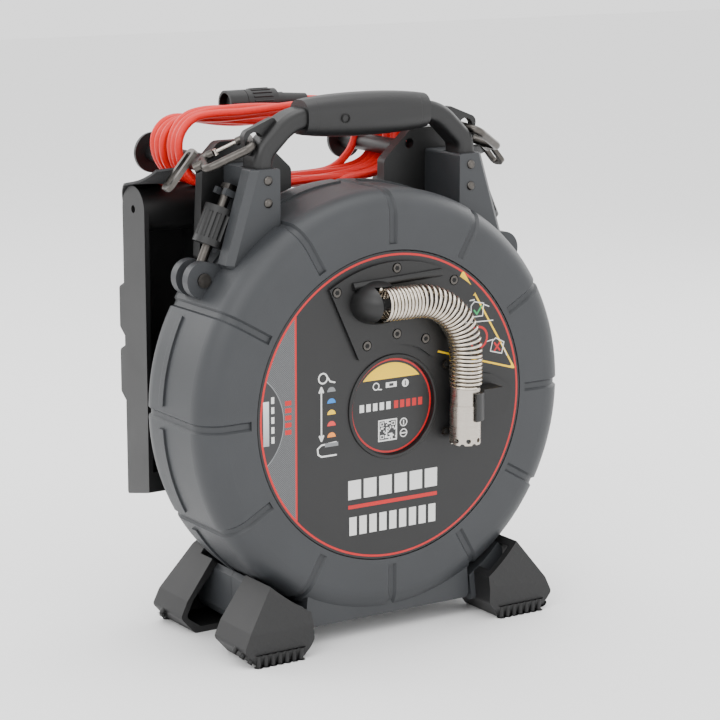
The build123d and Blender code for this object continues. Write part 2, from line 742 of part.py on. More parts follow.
def rear_hub_cover():
    return turned((0, case_depth + 8, 0), (30, case_depth + 8, 3), (30, case_depth, 0),
                  (spindle_r + 8, case_depth, 0), (spindle_r + 8, case_depth + 5, 0), (0, case_depth + 5, 0))


def cable_gland():
    """Strain relief on top of the rear hub cover, where the system cable leaves."""
    plane = Plane((0, case_depth + 4.2, 28), z_dir=(0, 0, 1))
    body = extrude(plane * Circle(4.1), amount=gland_len, taper=2)
    return body - rear_hub_cover()


# ---- camera ----
def spring_route():
    x, z = hood_mouth
    return FilletPolyline((x - 14, head_y, z), (head_x, head_y, z), (head_x, head_y, collar_top),
                          radius=spring_bend)


def camera_spring():
    path = spring_route()
    return sweep(Plane(path @ 0, z_dir=path % 0) * (Circle(spring_r) - Circle(spring_r - 3)), path=path)


def push_cable_end():
    path = spring_route()
    return sweep(Plane(path @ 0, z_dir=path % 0) * Circle(4.5), path=path)


def spring_collar():
    return rod((head_x, head_y, head_top), (head_x, head_y, collar_top - 0.2), head_r - 0.6)


def camera_head():
    body = rod((head_x, head_y, head_bottom + 8), (head_x, head_y, head_top), head_r)
    return body - rod((head_x, head_y, head_bottom), (head_x, head_y, head_bottom + 12), head_r - 2)


def camera_crown():
    """Holed crown that guards the lens."""
    body = rod((head_x, head_y, head_bottom), (head_x, head_y, head_bottom + 8), head_r)
    body -= rod((head_x, head_y, head_bottom - 1), (head_x, head_y, head_bottom + 9), head_r - 2)
    for i in range(6):
        angle = radians(60 * i + 15)
        at = (head_x + 20 * cos(angle), head_y + 20 * sin(angle), head_bottom + 4.5)
        body -= rod((head_x, head_y, head_bottom + 4.5), at, 1.2)
    return body


def lens_window():
    return rod((head_x, head_y, head_bottom + 3), (head_x, head_y, head_bottom + 4.5), head_r - 2.2)


def light_ring():
    ring = rod((head_x, head_y, head_bottom + 4.6), (head_x, head_y, head_bottom + 7), head_r - 2.2)
    return ring - rod((head_x, head_y, 0), (head_x, head_y, head_bottom), 4)


def lens_barrel():
    return rod((head_x, head_y, head_bottom + 4.6), (head_x, head_y, head_bottom + 11.8), 3.9)


# ---- system cable ----
def coil_face(grow):
    """Oval the cable is wound in, round both posts; grow widens it outward."""
    g = grow
    soft = 1 if grow > 0 else 0.3
    return outline([
        (-127 - g, 173.5 - g, 9 * soft), (-127 - g, 203 + g, 16 * soft), (-60, 221 + g, 30 * soft),
        (20, 222 + g, 40 * soft), (80 + g, 206 + g, 16 * soft), (82 + g, 172 - g, 9 * soft),
        (17, 160 - g, 60 * soft)])


def system_cable_coil():
    plane = Plane((0, coil_y1, 0), x_dir=(1, 0, 0), z_dir=(0, -1, 0))
    ring = coil_face(cord_r) - coil_face(-2 * cord_r)
    coil = extrude(plane * ring, amount=coil_y1 - coil_y0, dir=plane.z_dir)
    for x in (post_left_x, post_right_x):
        coil -= rod((x, coil_y0 - 1, post_z), (x, coil_y1 + 1, post_z), post_r + 0.3)
    return coil - block(plug_mouth_x - 6, boot_end_x + 50, plug_y - 14, coil_y1 + 1, plug_z - plug_r - 0.5, 300)


lead_route = [(0, 104.2, 44), (2, 104.8, 72), (-2, 106.5, 100), (3, 108, 126), (8, 108.5, 152)]
tail_route = [(14, 150, 223), (30, 150, 222.5), (46, 149, 218), (58, 147, 208)]


def plug_body_piece():
    x0 = plug_mouth_x
    body = rod((x0, plug_y, plug_z), (x0 + 16, plug_y, plug_z), plug_r)
    body -= rod((x0 - 1, plug_y, plug_z), (x0 + 12, plug_y, plug_z), plug_r - 2)
    core = rod((x0 + 16, plug_y, plug_z), (x0 + plug_len, plug_y, plug_z), plug_r - 3.5)
    return body + core


def plug_insert():
    x0 = plug_mouth_x
    return rod((x0 + 5, plug_y, plug_z), (x0 + 12, plug_y, plug_z), plug_r - 4)


def plug_collar():
    x0 = plug_mouth_x + 16.4
    body = rod((x0, plug_y, plug_z), (x0 + collar_len, plug_y, plug_z), plug_r)
    return body - rod((x0 - 1, plug_y, plug_z), (x0 + collar_len + 1, plug_y, plug_z), plug_r - 3.5 + run_gap)


def plug_boot():
    x0 = plug_mouth_x + plug_len
    plane = Plane((x0, plug_y, plug_z), z_dir=(1, 0, 0))
    return extrude(plane * Circle(6.5), amount=boot_end_x - x0, taper=4)


parts = {
    "front_case": front_case(),
    "rear_case": rear_case(),
    "case_screws": case_screws(),
    "face_plate": face_plate(),
    "hub_bezel": hub_bezel(),
    "hub_label": hub_label(),
    "cable_guide": cable_guide(),
    "guide_screws": screw_group(guide_screw_places, -1.5, 2.0, 3.4),
    "camera_clip": camera_clip(),
    "clip_screws": screw_group(clip_screw_places, -2.5, 1.4, 3.4),
    "handle_frame": handle_frame(),
    "grip": grip(),
    "handle_rivets": rivets(),
    "camera_spring": camera_spring(),
    "push_cable_end": push_cable_end(),
    "spring_collar": spring_collar(),
    "camera_head": camera_head(),
    "camera_crown": camera_crown(),
    "lens_window": lens_window(),
    "light_ring": light_ring(),
    "lens_barrel": lens_barrel(),
    "drum_front": drum_shell(True),
    "drum_rear": drum_shell(False),
    "drum_screws": drum_screws(),
    "push_cable_coil": push_cable_coil(),
    "spindle": spindle(),
    "rear_bearing": bearing(),
    "slip_ring": slip_ring(),
    "slip_ring_brushes": slip_brushes(),
    "rear_hub_cover": rear_hub_cover(),
    "cable_gland": cable_gland(),
    "cable_posts": Compound(children=[cable_post(post_left_x), cable_post(post_right_x)]),
    "dock_panel": dock_panel(),
    "dock_rails": panel_rails(),
    "dock_toe": panel_toe(),
    "strap_loop": strap_loop(),
    "system_cable_coil": system_cable_coil(),
    "system_cable_lead": cord_tube(lead_route, cord_r, "lead"),
    "system_cable_tail": cord_tube(tail_route, cord_r, "tail"),
    "plug_body": plug_body_piece(),
    "plug_insert": plug_insert(),
    "plug_collar": plug_collar(),
    "plug_boot": plug_boot(),
}
left_pieces = {
    "swing_bolt": swing_bolt(),
    "clamp_knob": clamp_knob(),
    "hook_gate": hook_gate(),
    "dock_arm": dock_arm(),
}
paired = {
    "clamp_pins": clamp_pin(),
    "snap_hooks": hook_body(),
    "strap_rings": strap_ring(),
    "strap_ends": strap_end(),
    "hinge_pins": hinge_pin(),
    "front_legs": leg(False),
    "rear_legs": leg(True),
    "front_boots": boot(False),
    "rear_boots": boot(True),
}
for name, shape in left_pieces.items():
    parts["left_" + name] = shape
    parts["right_" + name] = other_side(shape)
for name, shape in paired.items():
    parts[name] = Compound(children=[shape, other_side(shape)])

os.makedirs("parts", exist_ok=True)
for name, shape in parts.items():
    export_step(PLACE * shape, "parts/" + name + ".step")
print(len(parts), "nodes")
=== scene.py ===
import math

import bpy
from mathutils import Matrix, Vector


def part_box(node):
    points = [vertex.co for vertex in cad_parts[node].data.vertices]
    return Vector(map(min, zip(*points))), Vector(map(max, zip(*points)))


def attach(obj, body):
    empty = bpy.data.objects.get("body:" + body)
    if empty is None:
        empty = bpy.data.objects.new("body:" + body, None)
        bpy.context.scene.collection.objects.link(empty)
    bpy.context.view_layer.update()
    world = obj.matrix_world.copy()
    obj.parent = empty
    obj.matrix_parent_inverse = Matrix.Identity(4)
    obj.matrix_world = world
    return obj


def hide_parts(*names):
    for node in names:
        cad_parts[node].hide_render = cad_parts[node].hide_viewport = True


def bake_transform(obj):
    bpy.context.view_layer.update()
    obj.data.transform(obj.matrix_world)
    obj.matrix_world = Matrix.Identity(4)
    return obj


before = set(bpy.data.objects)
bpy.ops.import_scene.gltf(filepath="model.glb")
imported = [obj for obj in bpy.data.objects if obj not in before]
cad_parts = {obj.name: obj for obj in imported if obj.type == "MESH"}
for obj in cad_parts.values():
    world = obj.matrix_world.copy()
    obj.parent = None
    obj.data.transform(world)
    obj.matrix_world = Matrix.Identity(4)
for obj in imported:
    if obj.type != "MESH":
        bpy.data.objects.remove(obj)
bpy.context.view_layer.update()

# ---- Studio ----
# A drain inspection camera on a hand-carried reel, lit as in a small product studio: a pale sweep
# of floor and backdrop, a wide key light high on the left, and softer fills at the right and rear.
face_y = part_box("front_case")[0].y
axis_z = (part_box("face_plate")[0].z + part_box("face_plate")[1].z) / 2
MM = 0.001


def at(x, y, z):
    """Point x mm right of the drum's axis, y mm behind the case's face, z mm above the axis."""
    return Vector((x * MM, face_y + y * MM, axis_z + z * MM))


def area_light(name, place, aim, size, power, colour=(1, 1, 1)):
    lamp = bpy.data.objects.new(name, bpy.data.lights.new(name, "AREA"))
    lamp.data.size = size
    lamp.data.energy = power
    lamp.data.color = colour
    lamp.location = place
    lamp.rotation_euler = (Vector(aim) - Vector(place)).to_track_quat("-Z", "Y").to_euler()
    bpy.context.collection.objects.link(lamp)


lens_mm = 119.6
view_target = at(-30.3, 0, 39.6)
view_back = Vector((-0.53268, -0.82151, 0.20338))
view_reach = 1.81535
camera = bpy.data.objects.new("camera", bpy.data.cameras.new("camera"))
camera.data.lens = lens_mm
camera.data.sensor_width = 36
camera.location = view_target + view_back * view_reach
camera.rotation_euler = (-view_back).to_track_quat("-Z", "Y").to_euler()
bpy.context.collection.objects.link(camera)
bpy.context.scene.camera = camera

area_light("key_light", (-1.5, -1.0, 1.7), (0, 0, 0.2), 1.3, 20)
area_light("front_fill", (0.7, -2.2, 0.9), (0, 0, 0.2), 1.6, 9)
area_light("right_rim", (1.6, 0.3, 0.9), (0, 0, 0.2), 0.9, 9)
area_light("rear_light", (-0.9, 1.7, 1.3), (0, 0, 0.2), 1.4, 16)
area_light("top_light", (0.1, 0.1, 2.0), (0, 0, 0.2), 1.2, 15)
world = bpy.data.worlds.new("studio")
world.use_nodes = True
world.node_tree.nodes["Background"].inputs["Color"].default_value = (1, 1, 1, 1)
world.node_tree.nodes["Background"].inputs["Strength"].default_value = 1.7
bpy.context.scene.world = world


class Term:
    """A node's output that takes part in Python sums, so that a finish reads as a formula."""

    def __init__(self, socket):
        self.socket = socket

    def node(self, kind, inputs, out=0, stops=None, **settings):
        """Any other node: its settings and ramp stops first, then the values or links of its sockets."""
        made = self.socket.id_data.nodes.new(kind)
        for name, value in settings.items():
            setattr(made, name, value)
        for i, (place, colour) in enumerate(stops or ()):
            elements = made.color_ramp.elements
            stop = elements[i] if i < len(elements) else elements.new(place)
            stop.position, stop.color = place, colour
        for name, value in inputs.items():
            if isinstance(value, Term):
                self.socket.id_data.links.new(made.inputs[name], value.socket)
            else:
                made.inputs[name].default_value = value
        return Term(made.outputs[out])

    def maths(self, operation, *others):
        return self.node("ShaderNodeMath", dict(enumerate((self, *others))), operation=operation)

    def __add__(self, other):
        return self.maths("ADD", other)

    def __sub__(self, other):
        return self.maths("SUBTRACT", other)

    def __rsub__(self, other):
        return (self * -1) + other

    def __mul__(self, other):
        return self.maths("MULTIPLY", other)

    def __truediv__(self, other):
        return self.maths("DIVIDE", other)

    def __pow__(self, other):
        return self.maths("POWER", other)

    def __lt__(self, other):
        return self.maths("LESS_THAN", other)

    def __gt__(self, other):
        return self.maths("GREATER_THAN", other)

    def __mod__(self, other):
        return self.maths("FLOORED_MODULO", other)

    def __abs__(self):
        return self.maths("ABSOLUTE")

    def __neg__(self):
        return self * -1

    __radd__ = __add__
    __rmul__ = __mul__

    def either(self, other):
        return self.maths("MAXIMUM", other)

    def both(self, other):
        return self.maths("MINIMUM", other)

    def xyz(self):
        """The three numbers of a vector, as Terms."""
        split = self.socket.id_data.nodes.new("ShaderNodeSeparateXYZ")
        self.socket.id_data.links.new(split.inputs[0], self.socket)
        return [Term(output) for output in split.outputs]

    def noise(self, scale, detail=2.0, rough=0.5):
        return self.node("ShaderNodeTexNoise", {"Vector": self, "Scale": scale, "Detail": detail,
                                                "Roughness": rough})

    def blend(self, low, high):
        """A colour between two, by this share."""
        return self.node("ShaderNodeMix", {0: self, 6: low, 7: high}, out=2, data_type="RGBA")


def finish(name):
    """A new material, and its Object coordinates to build patterns from."""
    material = bpy.data.materials.new(name)
    material.use_nodes = True
    material.node_tree.nodes.clear()
    coordinates = material.node_tree.nodes.new("ShaderNodeTexCoord")
    return material, Term(coordinates.outputs["Object"])


def shade(place, colour, rough, relief=None, depth=0.0001, metal=0.0, **constants):
    """Principled shader with a relief in metres; anything constant sits on its own socket."""
    sockets = {"Base Color": colour, "Roughness": rough, "Metallic": metal}
    sockets.update({name.replace("_", " "): value for name, value in constants.items()})
    if relief is not None:
        sockets["Normal"] = place.node("ShaderNodeBump", {"Height": relief, "Distance": depth})
    surface = place.node("ShaderNodeBsdfPrincipled", sockets)
    output = place.socket.id_data.nodes.new("ShaderNodeOutputMaterial")
    place.socket.id_data.links.new(output.inputs["Surface"], surface.socket)


def rgb(red, green, blue):
    """Screen colour, 0 to 255, as linear light."""
    return (*((c / 255 / 12.92 if c <= 10 else ((c / 255 + 0.055) / 1.055) ** 2.4)
              for c in (red, green, blue)), 1)


floor_size = 12.0
bpy.ops.object.select_all(action="DESELECT")
bpy.ops.mesh.primitive_plane_add(size=floor_size)
floor = bpy.context.object
floor.name = "studio_floor"
floor_paint, place = finish("studio_floor")
shade(place, rgb(246, 246, 246), place.noise(3.0) * 0.1 + 0.55)
floor.data.materials.append(floor_paint)


def cover(material, *nodes):
    """Gives CAD nodes a finish in place of their plain one."""
    for name in nodes:
        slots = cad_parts[name].data.materials
        slots.clear()
        slots.append(material)


# ---- System cable ----
# Round rubber-sheathed cable that joins the reel to its monitor. It leaves the gland on the rear
# hub cover, is wound by hand round the two posts, and ends in a screw-ring plug laid on the turns.
cable_dia = 0.0064
coil_centre_x, coil_run, coil_round = -22.5, 77.5, 26.0
coil_mid_z, coil_front_y, coil_pitch = 196.0, 103.0, 8.4
turns, turn_points = 5, 24
middle_sag, plug_dip = 8.0, 13.0
cable_route = [at(0, 104.2, 44), at(2, 104.8, 72), at(-2, 106.5, 100), at(3, 108, 126), at(8, 108.5, 152),
               at(24, 105, 164)]


def racetrack(way):
    """Point of a long ring with round ends, way mm from the middle of its lower run."""
    bend = math.pi * coil_round
    way %= 4 * coil_run + 2 * bend
    if way < coil_run:
        return way, -coil_round
    way -= coil_run
    if way < bend:
        angle = way / coil_round - math.pi / 2
        return coil_run + coil_round * math.cos(angle), coil_round * math.sin(angle)
    way -= bend
    if way < 2 * coil_run:
        return coil_run - way, coil_round
    way -= 2 * coil_run
    if way < bend:
        angle = way / coil_round + math.pi / 2
        return -coil_run + coil_round * math.cos(angle), coil_round * math.sin(angle)
    return -coil_run + way - bend, -coil_round


lap = 4 * coil_run + 2 * math.pi * coil_round
lead_on = 70.0
for i in range(turns * turn_points + 19):
    turn = i / turn_points
    across, up = racetrack(lead_on + lap * turn)
    middle = 1 - min(1, abs(across) / (coil_run + coil_round)) ** 2.5
    dip = plug_dip * min(1, max(0, turn - 2.8)) if up > 0 else middle_sag
    loose = 1.6 * math.sin(0.9 * i + 1.3 * turn)
    cable_route.append(at(coil_centre_x + across * (1 + 0.012 * math.sin(4.1 * turn)),
                          coil_front_y + coil_pitch * turn + 1.2 * math.sin(2.1 * turn + i),
                          coil_mid_z + up - dip * middle + loose * middle))
cable_route += [at(20, 147, 162.5), at(40, 147, 166), at(55, 147, 178), at(61.5, 147, 193), at(58, 147, 208),
                at(46, 149, 218), at(30, 150, 222.5), at(14, 150, 223)]


def smooth_line(name, points, radius):
    """A round line that follows the points as a NURBS curve's control points."""
    curve = bpy.data.curves.new(name, "CURVE")
    curve.dimensions = "3D"
    spline = curve.splines.new("NURBS")
    spline.points.add(len(points) - 1)
    for spot, point in zip(spline.points, points):
        spot.co = (*point, 1)
    spline.order_u = 3
    spline.use_endpoint_u = True
    curve.resolution_u = 6
    curve.bevel_depth = radius
    curve.bevel_resolution = 4
    curve.use_fill_caps = True
    line = bpy.data.objects.new(name, curve)
    bpy.context.collection.objects.link(line)
    return line


sheath, place = finish("cable_sheath")
grain = place.noise(420.0, 3.0)
shade(place, grain.blend(rgb(196, 8, 0), rgb(220, 18, 2)), grain * 0.12 + 0.34, grain, 0.00004,
      IOR=1.45)
system_cable = smooth_line("system_cable", cable_route, cable_dia / 2)
system_cable.data.materials.append(sheath)
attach(system_cable, "reel_case")
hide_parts("system_cable_coil", "system_cable_lead", "system_cable_tail")


# ---- Case ----
# Two rotationally moulded shells in grey plastic with a fine satin grain, drawn together by long
# screws. Twelve grooves stiffen them, and the rear shell's raised lip covers the parting line.
case_grey, place = finish("case_grey")
grain = place.noise(1500.0, 3.0, 0.6)
mottle = place.noise(24.0, 3.0)
shade(place, (mottle * 0.6 + grain * 0.4).blend(rgb(36, 38, 40), rgb(54, 56, 59)),
      mottle * 0.12 + 0.42, grain, 0.00012, IOR=1.45)

black_plastic, place = finish("black_plastic")
grain = place.noise(1300.0, 2.0)
mottle = place.noise(30.0, 2.0)
shade(place, mottle.blend(rgb(5, 5, 5), rgb(11, 11, 12)), mottle * 0.12 + 0.4, grain, 0.00008)

steel, place = finish("stainless_steel")
scratch = place.node("ShaderNodeMapping", {"Vector": place, "Scale": (60, 60, 2600)}).noise(1.0, 3.0)
shade(place, scratch.blend(rgb(168, 160, 150), rgb(206, 198, 188)), scratch * 0.16 + 0.2, scratch,
      0.00003, metal=1.0)

dark_steel, place = finish("blackened_steel")
wear = place.noise(160.0, 4.0, 0.7)
shade(place, wear.blend(rgb(58, 56, 54), rgb(104, 100, 96)), wear * 0.2 + 0.25, wear, 0.00004, metal=1.0)

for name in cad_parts:
    cover(black_plastic, name)
cover(case_grey, "front_case", "rear_case", "front_legs", "rear_legs")
cover(steel, "spring_collar", "camera_head", "camera_crown", "hinge_pins", "spindle", "rear_bearing",
      "left_hook_gate", "right_hook_gate")
cover(dark_steel, "case_screws", "guide_screws", "clip_screws", "handle_rivets", "left_swing_bolt",
      "right_swing_bolt", "drum_screws", "snap_hooks", "strap_rings", "clamp_pins")


# ---- Drum, slip ring and posts ----
# The cable drum, its brushes and its slip ring are plain working parts in natural plastic and
# copper, seen only when the case is parted; the posts behind carry black end flanges.
inner_plastic, place = finish("drum_plastic")
mottle = place.noise(40.0, 3.0)
shade(place, mottle.blend(rgb(128, 128, 126), rgb(150, 149, 146)), mottle * 0.1 + 0.45, mottle, 0.00008)
cover(inner_plastic, "drum_front", "drum_rear", "slip_ring_brushes")
copper, place = finish("copper_rings")
x, y, z = place.xyz()
track = (y * 240.0 % 1.0 < 0.5) * 1.0
shade(place, track.blend(rgb(206, 130, 76), rgb(120, 74, 44)), track * 0.2 + 0.25, track, 0.0002, metal=1.0)
cover(copper, "slip_ring")
push_sheath, place = finish("push_cable_sheath")
braid = place.noise(500.0, 3.0)
shade(place, braid.blend(rgb(18, 18, 20), rgb(34, 34, 36)), braid * 0.2 + 0.35, braid, 0.0001)
cover(push_sheath, "push_cable_coil")


# ---- Face plate ----
# Round black front plate with a fine texture and printed graphics: a red ring and chord, a column
# of colour marks, plain white and red bars, and a yellow framed notice with two pictures.
class Print:
    """Printed shapes on a plate, on x across and z up in mm from a centre, over a ground colour."""

    def __init__(self, place, centre, ground):
        x, _, z = place.xyz()
        self.x, self.z = (x - centre.x) * 1000, (z - centre.z) * 1000
        self.radius = (self.x * self.x + self.z * self.z) ** 0.5
        self.colour = ground

    def paint(self, mask, colour):
        self.colour = mask.blend(self.colour, colour)

    def ring(self, x, z, radius, width):
        across, up = self.x - x, self.z - z
        return abs((across * across + up * up) ** 0.5 - radius) < width / 2

    def disc(self, x, z, radius):
        across, up = self.x - x, self.z - z
        return (across * across + up * up) < radius ** 2

    def bar(self, x0, x1, z0, z1):
        return (abs(self.x - (x0 + x1) / 2) < (x1 - x0) / 2).both(abs(self.z - (z0 + z1) / 2) < (z1 - z0) / 2)

    def line(self, x0, z0, x1, z1, width):
        """A straight stroke between two points."""
        run_x, run_z = x1 - x0, z1 - z0
        size = run_x ** 2 + run_z ** 2
        along = (((self.x - x0) * run_x + (self.z - z0) * run_z) / size).either(0.0).both(1.0)
        across, up = self.x - x0 - along * run_x, self.z - z0 - along * run_z
        return (across * across + up * up) < (width / 2) ** 2

    def lines(self, points, width):
        """Strokes from point to point."""
        mask = self.line(*points[0], *points[1], width)
        for start, end in zip(points[1:], points[2:]):
            mask = mask.either(self.line(*start, *end, width))
        return mask


print_red, print_white = rgb(186, 0, 6), rgb(214, 214, 212)
print_yellow, print_grey = rgb(240, 196, 0), rgb(118, 120, 122)
plate_print, place = finish("face_plate_print")
grain = place.noise(1600.0, 2.0)
sheet = Print(place, at(0, 0, 0), place.noise(26.0, 2.0).blend(rgb(13, 13, 14), rgb(20, 20, 21)))
left_of_chord = sheet.x < -86.6
inside = sheet.radius < 117.2
mesh_dots = ((sheet.x + sheet.z) % 1.6 < 0.8).both((sheet.x - sheet.z) % 1.6 < 0.8)
sheet.paint(left_of_chord.both(inside), mesh_dots.blend(rgb(66, 67, 69), rgb(112, 113, 115)))
sheet.paint(sheet.disc(-141, 0, 42.5).both(inside), rgb(40, 40, 42))
sheet.paint(sheet.ring(-141, 0, 42.8, 0.7).both(inside), print_grey)
# Grey print bar whose colour runs from dark at the bottom to light at the top: a painted sheen that stands in
# for a chrome reflection.
silver_bar_painted_sheen = (sheet.z * 0.03 + 0.5).blend(rgb(150, 151, 154), rgb(206, 207, 210))
sheet.paint(sheet.bar(-116, -111, -17, 17).both(inside), silver_bar_painted_sheen)
sheet.paint(left_of_chord.both(sheet.x > -88.2).both(inside), print_red)
sheet.paint(abs(sheet.radius - 118.0) < 0.8, print_red)
for k in range(5):
    sheet.paint(sheet.bar(-97, -91.5, 12 - 5.6 * k, 15.6 - 5.6 * k), print_red)
    sheet.paint(sheet.bar(-109, -106.4, 15 - 7.6 * k, 20 - 7.6 * k), print_white)
mark_colours = (print_grey, rgb(20, 120, 200), print_yellow, rgb(214, 50, 44), rgb(240, 140, 40))
for k, colour in enumerate(mark_colours):
    low = 18.0 - 8.8 * k
    sheet.paint(sheet.disc(-56, low, 3.7).both(sheet.z > low), colour)
sheet.paint(sheet.lines([(-65, 19), (-65, -16)], 1.2)
            .either(sheet.lines([(-66.6, 18.5), (-65, 22), (-63.4, 18.5)], 1.6))
            .either(sheet.lines([(-66.6, -15.5), (-65, -19), (-63.4, -15.5)], 1.6))
            .either(sheet.ring(-63.5, 29, 3.8, 1.2))
            .either(sheet.lines([(-61, 31.8), (-57, 26), (-53, 25)], 1.2))
            .either(sheet.lines([(-52, -21.5), (-65, -22.5), (-68.5, -25), (-68, -29.5), (-65, -31.5),
                                 (-52, -31.5)], 1.3)), print_white)
sheet.paint(sheet.bar(-62, -50, -24.5, -21.5), print_grey)
for k in range(6):
    sheet.paint(sheet.bar(-41 + 14.2 * k, -29.4 + 14.2 * k, -69, -54), print_white)
for k in range(9):
    sheet.paint(sheet.bar(-40 + 9.2 * k, -33.4 + 9.2 * k, -97.5, -83), print_white)
sheet.paint(sheet.bar(-41, 41.6, -76.4, -73.4), print_red)


def corner_frame(plate, corners, soft):
    """Signed distance to a triangle with softened corners, negative inside."""
    edges = []
    for (x0, z0), (x1, z1) in zip(corners, corners[1:] + corners[:1]):
        size = math.hypot(x1 - x0, z1 - z0)
        edges.append((plate.x - x0) * ((z0 - z1) / size) + (plate.z - z0) * ((x1 - x0) / size))
    first = edges[0].node("ShaderNodeMath", {0: edges[0], 1: edges[1], 2: soft}, operation="SMOOTH_MAX")
    return first.node("ShaderNodeMath", {0: first, 1: edges[2], 2: soft}, operation="SMOOTH_MAX")


notice = corner_frame(sheet, [(65, 101), (118, 15), (28, 41)], 4.0)
sheet.paint((abs(notice + 1.2) < 0.75).either((notice < -0.5).both(sheet.z > 79)), print_yellow)
sheet.paint(sheet.disc(65, 85.5, 5.2), rgb(34, 34, 36))
sheet.paint(sheet.disc(65, 85.5, 4.4), print_yellow)
sheet.paint(sheet.bar(64.4, 65.6, 84.4, 88.8).either(sheet.disc(65, 82.6, 0.8)), rgb(34, 34, 36))
sheet.paint(sheet.lines([(73, 71), (73, 62), (84, 62), (85, 72), (76, 74), (73, 71)], 0.8)
            .either(sheet.lines([(66, 75), (69, 77.5), (69, 72.5), (66, 75), (76, 75.5)], 0.9))
            .either(sheet.lines([(68, 58), (94, 57.5)], 0.8))
            .either(sheet.lines([(85, 71), (90, 69)], 0.8))
            .either(sheet.lines([(94, 41), (92, 33), (103, 30), (105, 39), (97, 43), (94, 41)], 0.8))
            .either(sheet.lines([(88, 41), (94, 42)], 0.8))
            .either(sheet.lines([(103, 38), (108, 28)], 0.8)), print_white)
sheet.paint(sheet.lines([(76, 67), (78.5, 64), (83, 70)], 1.4), rgb(30, 160, 90))
sheet.paint(sheet.lines([(96, 39), (101, 33)], 1.5)
            .either(sheet.lines([(96, 33), (101, 39)], 1.5)), print_red)
sheet.paint(sheet.ring(80, 45, 8.5, 1.8), print_red)
shade(place, sheet.colour, grain * 0.14 + 0.42, grain, 0.00007)
cover(plate_print, "face_plate")


# ---- Hub label ----
# Round glossy label under the hub bezel: a red ring, a yellow segment, three small signs, a plain
# white and red band, a pattern square in a white border, and two round marks.
label_print, place = finish("hub_label_print")
speck = place.noise(900.0, 2.0)
sheet = Print(place, at(0, 0, 0), speck.blend(rgb(12, 12, 13), rgb(18, 18, 19)))
sheet.paint((sheet.radius < 33.8).both(sheet.z > 21.5), print_yellow)
sheet.paint(abs(sheet.radius - 36.3) < 0.7, print_red)
for k in range(5):
    sheet.paint(sheet.bar(-29 + 6.1 * k, -25 + 6.1 * k, -2.5, 3.5), print_white)
    sheet.paint(sheet.bar(2.6 + 5.6 * k, 6.4 + 5.6 * k, -2.5, 3.5), print_red)
sheet.paint(sheet.ring(-14, 16.5, 2.6, 0.9).either(sheet.lines([(-12, 14), (-9, 13.6)], 0.9))
            .either(sheet.bar(-5, 5, 14.4, 18.6)).either(sheet.disc(13, 16.3, 3.1))
            .either(sheet.bar(-12, 5.4, -27.5, -10.5))
            .either(sheet.ring(11.5, -14.5, 3.0, 0.8)).either(sheet.ring(11.5, -23, 3.0, 0.8))
            .either(sheet.bar(11, 12, -16.5, -12.8)).either(sheet.bar(9, 14, -23.6, -22.6)), print_white)
sheet.paint(sheet.bar(-2, 2, 15.4, 17.6).either(sheet.bar(12.5, 13.5, 14.4, 18.2)), rgb(34, 34, 36))
cells = sheet.x.node("ShaderNodeCombineXYZ", {0: (sheet.x + 12) - (sheet.x + 12) % 1.2,
                                              1: sheet.z - sheet.z % 1.2, 2: 0.0})
speckle = cells.node("ShaderNodeTexWhiteNoise", {"Vector": cells}, noise_dimensions="3D") < 0.5
sheet.paint(speckle.both(sheet.bar(-10.8, 4.2, -26.3, -11.7)), rgb(30, 30, 32))
for x, z in ((-8.4, -14), (1.8, -14), (-8.4, -24)):
    sheet.paint(sheet.bar(x - 2.4, x + 2.4, z - 2.4, z + 2.4), rgb(30, 30, 32))
    sheet.paint(sheet.bar(x - 1.6, x + 1.6, z - 1.6, z + 1.6), print_white)
    sheet.paint(sheet.bar(x - 0.9, x + 0.9, z - 0.9, z + 0.9), rgb(30, 30, 32))
shade(place, sheet.colour, speck * 0.08 + 0.3, speck, 0.00002, IOR=1.5)
cover(label_print, "hub_label")


# ---- Camera spring and push cable ----
# Closely wound steel spring that guards the push cable from the guide's hood to the camera head.
# It is tight where it runs straight and opens on the outside of its bend.
spring_radius, wire_radius, push_cable_r = 12.0, 1.25, 4.5
tight_pitch, bend_pitch = 3.1, 4.0
bend_radius, spring_axis_x, spring_y = 46.0, 56.5, -16.5
hood_x, hood_z, spring_end_z = -22.0, 83.5, 12.0
flat_run = spring_axis_x - bend_radius - hood_x
bend_run = bend_radius * math.pi / 2
drop_run = hood_z - bend_radius - spring_end_z


def spring_line(way):
    """Centre point and the unit vector away from the bend's centre, way mm along the spring."""
    if way < flat_run:
        return Vector((hood_x + way, spring_y, hood_z)), Vector((0, 0, 1))
    if way < flat_run + bend_run:
        angle = (way - flat_run) / bend_radius
        out = Vector((math.sin(angle), 0, math.cos(angle)))
        centre = Vector((spring_axis_x - bend_radius, spring_y, hood_z - bend_radius))
        return centre + out * bend_radius, out
    drop = way - flat_run - bend_run
    return Vector((spring_axis_x, spring_y, hood_z - bend_radius - drop)), Vector((1, 0, 0))


def coil_turns(way):
    """Turns wound up to a place: close on the straight runs and opened round the bend."""
    bent = min(max(way - flat_run, 0), bend_run)
    return (way - bent) / tight_pitch + bent / bend_pitch


coil_points = []
total_run = flat_run + bend_run + drop_run
spring_steps = 1150
for i in range(spring_steps + 1):
    way = total_run * i / spring_steps
    centre, out = spring_line(way)
    angle = 2 * math.pi * coil_turns(way)
    spot = centre + out * spring_radius * math.cos(angle) + Vector((0, spring_radius * math.sin(angle), 0))
    coil_points.append(at(*spot))


def as_mesh(line):
    """Turns a curve object into a mesh."""
    bpy.ops.object.select_all(action="DESELECT")
    line.select_set(True)
    bpy.context.view_layer.objects.active = line
    bpy.ops.object.convert(target="MESH")
    return bpy.context.object


